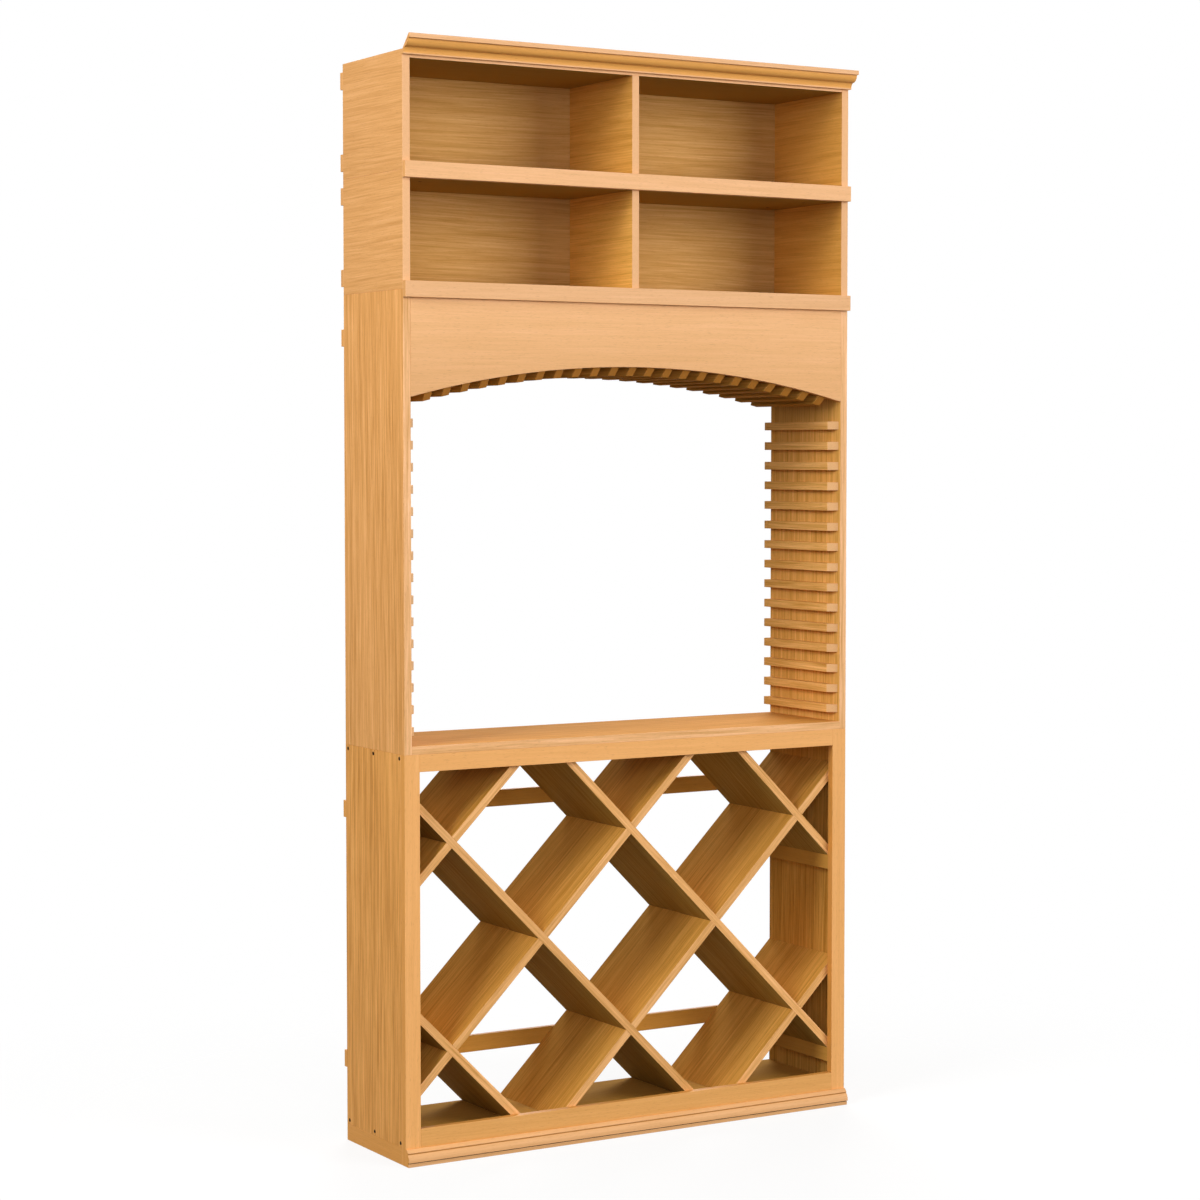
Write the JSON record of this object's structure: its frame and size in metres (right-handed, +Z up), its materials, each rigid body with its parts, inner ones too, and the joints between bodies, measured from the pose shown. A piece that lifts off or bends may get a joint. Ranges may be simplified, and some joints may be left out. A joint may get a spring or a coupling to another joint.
{
  "type": "wine tasting station",
  "caption": "Tall wooden wine tasting station: diamond bottle bin with face frame, counter in an arched niche lined with slats, stacked case boxes, crown and base mouldings.",
  "frame": {"origin": "on the floor, under the middle of the bounding box", "axes": "+Z up, the front faces -Y, +X to the right of someone facing the front"},
  "size_m": [1.172, 0.3398, 2.432],
  "materials": {
    "honey_hardwood": "honey stain under clear satin lacquer",
    "black_screw": "black phosphate"
  },
  "bodies": {
    "root": {"arch_rear_rib": "honey_hardwood", "arch_slats": "honey_hardwood", "arch_valance": "honey_hardwood", "base_moulding": "honey_hardwood", "bin_back_rail_lower": "honey_hardwood", "bin_back_rail_upper": "honey_hardwood", "bin_floor": "honey_hardwood", "bin_top": "honey_hardwood", "bottom_rail": "honey_hardwood", "counter_top": "honey_hardwood", "crown_moulding": "honey_hardwood", "divider_cleats_left": "honey_hardwood", "divider_cleats_right": "honey_hardwood", "falling_divider_1": "honey_hardwood", "falling_divider_2": "honey_hardwood", "falling_divider_3": "honey_hardwood", "falling_divider_4": "honey_hardwood", "lower_case_back": "honey_hardwood", "lower_case_back_rail_high": "honey_hardwood", "lower_case_back_rail_low": "honey_hardwood", "lower_case_divider": "honey_hardwood", "lower_case_floor": "honey_hardwood", "lower_case_side_left": "honey_hardwood", "lower_case_side_right": "honey_hardwood", "lower_case_top": "honey_hardwood", "lower_fascia": "honey_hardwood", "lower_side_left": "honey_hardwood", "lower_side_right": "honey_hardwood", "niche_back_rail": "honey_hardwood", "niche_side_left": "honey_hardwood", "niche_side_right": "honey_hardwood", "niche_slats_left": "honey_hardwood", "niche_slats_right": "honey_hardwood", "niche_top": "honey_hardwood", "plinth_left": "honey_hardwood", "plinth_rear": "honey_hardwood", "plinth_right": "honey_hardwood", "rising_divider_1": "honey_hardwood", "rising_divider_2": "honey_hardwood", "rising_divider_3": "honey_hardwood", "rising_divider_4": "honey_hardwood", "side_screws_left": "black_screw", "side_screws_right": "black_screw", "stack_screws": "black_screw", "stile_left": "honey_hardwood", "stile_right": "honey_hardwood", "top_rail": "honey_hardwood", "upper_case_back": "honey_hardwood", "upper_case_back_rail_high": "honey_hardwood", "upper_case_back_rail_low": "honey_hardwood", "upper_case_divider": "honey_hardwood", "upper_case_floor": "honey_hardwood", "upper_case_side_left": "honey_hardwood", "upper_case_side_right": "honey_hardwood", "upper_case_top": "honey_hardwood", "upper_fascia": "honey_hardwood"}
  },
  "joints": []
}
